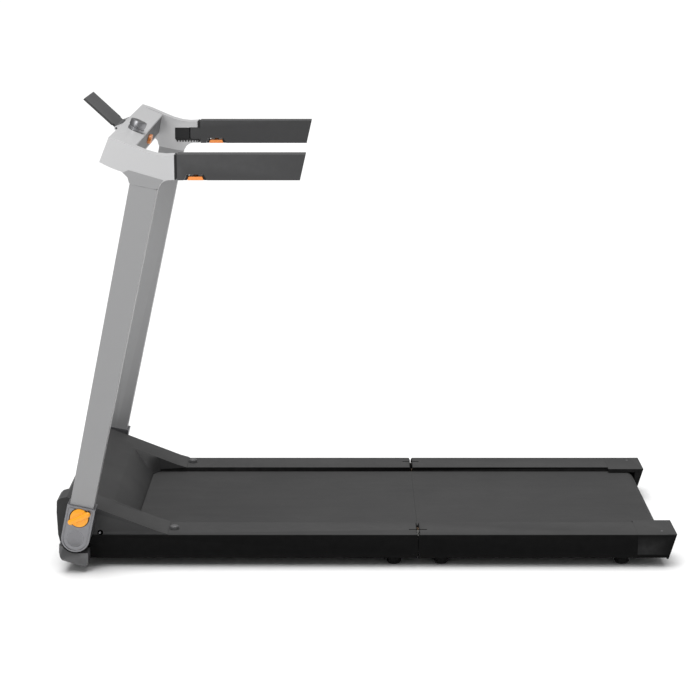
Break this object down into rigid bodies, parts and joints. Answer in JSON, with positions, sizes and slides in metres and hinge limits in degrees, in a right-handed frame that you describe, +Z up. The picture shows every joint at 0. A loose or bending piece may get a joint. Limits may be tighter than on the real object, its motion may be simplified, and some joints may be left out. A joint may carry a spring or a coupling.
{
  "type": "treadmill",
  "caption": "Double-folding home treadmill: motor base, deck that folds over itself, leaning uprights with a console bar, lock knobs and swing-in arms.",
  "frame": {"origin": "on the floor, below the middle of the object's bounding box", "axes": "+X towards the tail, where the user steps on; the user faces -X; left and right in node names are -Y and +Y; +Z up"},
  "size_m": [1.43, 0.7568, 1.0595],
  "materials": {
    "steel_black": "satin black powder coat",
    "rail_plastic": "fine moulded texture",
    "cap_plastic": "fine moulded texture",
    "board": "waxed fibre board",
    "pan_steel": "satin",
    "hood_plastic": "fine moulded texture",
    "tray_plastic": "fine moulded texture",
    "zinc_steel": "zinc plated",
    "motor_paint": "satin",
    "heat_sink": "extruded",
    "drive_rubber": "ribbed",
    "black_gloss": "gloss",
    "switch_red": "gloss",
    "guard_plastic": "fine moulded texture",
    "wheel_rubber": "matt",
    "foot_rubber": "matt",
    "bumper_rubber": "matt",
    "roller_steel": "turned",
    "pulley_nylon": "grooved",
    "running_belt": "fine diamond weave",
    "post_paint": "satin silver grey",
    "cap_metal": "satin",
    "lock_amber": "satin amber",
    "console_plastic": "satin light grey",
    "cover_plastic": "satin",
    "circuit_board": "solder mask",
    "knob_chrome": "polished rim, dark cap",
    "holder_plastic": "satin",
    "button_orange": "satin orange",
    "hinge_plastic": "satin",
    "arm_foam": "soft-touch grip"
  },
  "bodies": {
    "base": {"base_frame": "steel_black", "upright_plates": "steel_black", "front_rail_left": "rail_plastic", "front_rail_right": "rail_plastic", "front_running_board": "board", "front_belly_pan": "pan_steel", "motor_hood": "hood_plastic", "hood_tray": "tray_plastic", "tray_screws": "zinc_steel", "motor_housing": "motor_paint", "motor_controller": "heat_sink", "drive_belt": "drive_rubber", "power_inlet": "black_gloss", "upright_pivot_pins": "zinc_steel", "pivot_guards": "guard_plastic", "wheel_axles": "zinc_steel", "front_feet": "foot_rubber", "fold_bumpers": "bumper_rubber", "front_roller_axle": "zinc_steel", "belt_front": "running_belt", "front_fold_pins": "zinc_steel"},
    "front_roller": {"front_roller": "roller_steel", "roller_pulley": "pulley_nylon"},
    "motor_rotor": {"motor_rotor": "zinc_steel"},
    "power_switch": {"power_switch": "switch_red"},
    "transport_wheel_left": {"transport_wheel_left": "wheel_rubber"},
    "transport_wheel_right": {"transport_wheel_right": "wheel_rubber"},
    "fold_links": {"fold_link_left": "zinc_steel", "fold_link_right": "zinc_steel"},
    "rear_deck": {"rear_frame": "steel_black", "rear_rail_left": "rail_plastic", "rear_rail_right": "rail_plastic", "end_cap_left": "cap_plastic", "end_cap_right": "cap_plastic", "rear_running_board": "board", "rear_belly_pan": "pan_steel", "belt_rear": "running_belt", "rear_feet": "foot_rubber", "rear_roller_axle": "zinc_steel", "rear_fold_pins": "zinc_steel"},
    "rear_roller": {"rear_roller": "roller_steel"},
    "uprights": {"post_left": "post_paint", "post_right": "post_paint", "pivot_caps": "cap_metal", "fork_left": "console_plastic", "fork_right": "console_plastic", "console_bar": "console_plastic", "console_cover": "cover_plastic", "control_board": "circuit_board", "arm_hinge_blocks": "hinge_plastic", "arm_hinge_pins": "zinc_steel"},
    "lock_knob_left": {"lock_knob_left": "lock_amber"},
    "lock_knob_right": {"lock_knob_right": "lock_amber"},
    "console_knob": {"console_knob": "knob_chrome"},
    "phone_holder": {"phone_holder": "holder_plastic"},
    "safety_key": {"safety_key": "button_orange"},
    "arm_left": {"arm_left": "arm_foam"},
    "arm_right": {"arm_right": "arm_foam"},
    "release_button_left": {"release_button_left": "button_orange"},
    "release_button_right": {"release_button_right": "button_orange"}
  },
  "joints": [
    {"name": "uprights_fold", "type": "hinge", "parent": "base", "child": "uprights", "pos_m": [-0.667, 0, 0.085], "axis": [0, 1, 0], "range_deg": [0, 76]},
    {"name": "deck_fold_lower", "type": "hinge", "parent": "base", "child": "fold_links", "pos_m": [0.1035, 0, 0.0705], "axis": [0, -1, 0], "range_deg": [0, 90]},
    {"name": "deck_fold_upper", "type": "hinge", "parent": "fold_links", "child": "rear_deck", "pos_m": [0.1325, 0, 0.0705], "axis": [0, -1, 0], "range_deg": [0, 90]},
    {"name": "front_roller_spin", "type": "hinge", "parent": "base", "child": "front_roller", "pos_m": [-0.575, 0, 0.0497], "axis": [0, 1, 0], "continuous": true},
    {"name": "motor_spin", "type": "hinge", "parent": "base", "child": "motor_rotor", "pos_m": [-0.655, 0, 0.091], "axis": [0, 1, 0], "continuous": true},
    {"name": "rear_roller_spin", "type": "hinge", "parent": "rear_deck", "child": "rear_roller", "pos_m": [0.67, 0, 0.0497], "axis": [0, 1, 0], "continuous": true},
    {"name": "transport_wheel_left_spin", "type": "hinge", "parent": "base", "child": "transport_wheel_left", "pos_m": [-0.672, -0.28, 0.022], "axis": [0, 1, 0], "continuous": true},
    {"name": "transport_wheel_right_spin", "type": "hinge", "parent": "base", "child": "transport_wheel_right", "pos_m": [-0.672, 0.28, 0.022], "axis": [0, 1, 0], "continuous": true},
    {"name": "power_switch_rock", "type": "hinge", "parent": "base", "child": "power_switch", "pos_m": [-0.6925, 0.206, 0.101], "axis": [0, 1, 0], "range_deg": [0, 14]},
    {"name": "lock_knob_left_turn", "type": "hinge", "parent": "uprights", "child": "lock_knob_left", "pos_m": [-0.65627, -0.362, 0.13486], "axis": [0, -1, 0], "range_deg": [0, 90]},
    {"name": "lock_knob_right_turn", "type": "hinge", "parent": "uprights", "child": "lock_knob_right", "pos_m": [-0.65627, 0.362, 0.13486], "axis": [0, 1, 0], "range_deg": [0, 90]},
    {"name": "console_knob_turn", "type": "hinge", "parent": "uprights", "child": "console_knob", "pos_m": [-0.53465, -0.11, 0.98804], "axis": [0.3877, 0, 0.9218], "continuous": true},
    {"name": "phone_holder_fold", "type": "hinge", "parent": "uprights", "child": "phone_holder", "pos_m": [-0.58265, 0, 0.9895], "axis": [0, -1, 0], "range_deg": [0, 105]},
    {"name": "safety_key_pull", "type": "slide", "parent": "uprights", "child": "safety_key", "axis": [0.9762, 0, -0.2169], "range_m": [0, 0.015]},
    {"name": "arm_left_fold", "type": "hinge", "parent": "uprights", "child": "arm_left", "pos_m": [-0.43965, -0.328, 0.907], "axis": [0, 0, 1], "range_deg": [0, 90]},
    {"name": "arm_right_fold", "type": "hinge", "parent": "uprights", "child": "arm_right", "pos_m": [-0.43965, 0.328, 0.907], "axis": [0, 0, -1], "range_deg": [0, 90]},
    {"name": "release_button_left_press", "type": "slide", "parent": "arm_left", "child": "release_button_left", "axis": [0, 0, 1], "range_m": [0, 0.004], "stiffness_N_per_m": 800},
    {"name": "release_button_right_press", "type": "slide", "parent": "arm_right", "child": "release_button_right", "axis": [0, 0, 1], "range_m": [0, 0.004], "stiffness_N_per_m": 800}
  ],
  "couplings": [
    {"joint": "deck_fold_upper", "follows": "deck_fold_lower", "ratio": 1},
    {"joint": "motor_spin", "follows": "front_roller_spin", "ratio": 2},
    {"joint": "rear_roller_spin", "follows": "front_roller_spin", "ratio": 1}
  ]
}
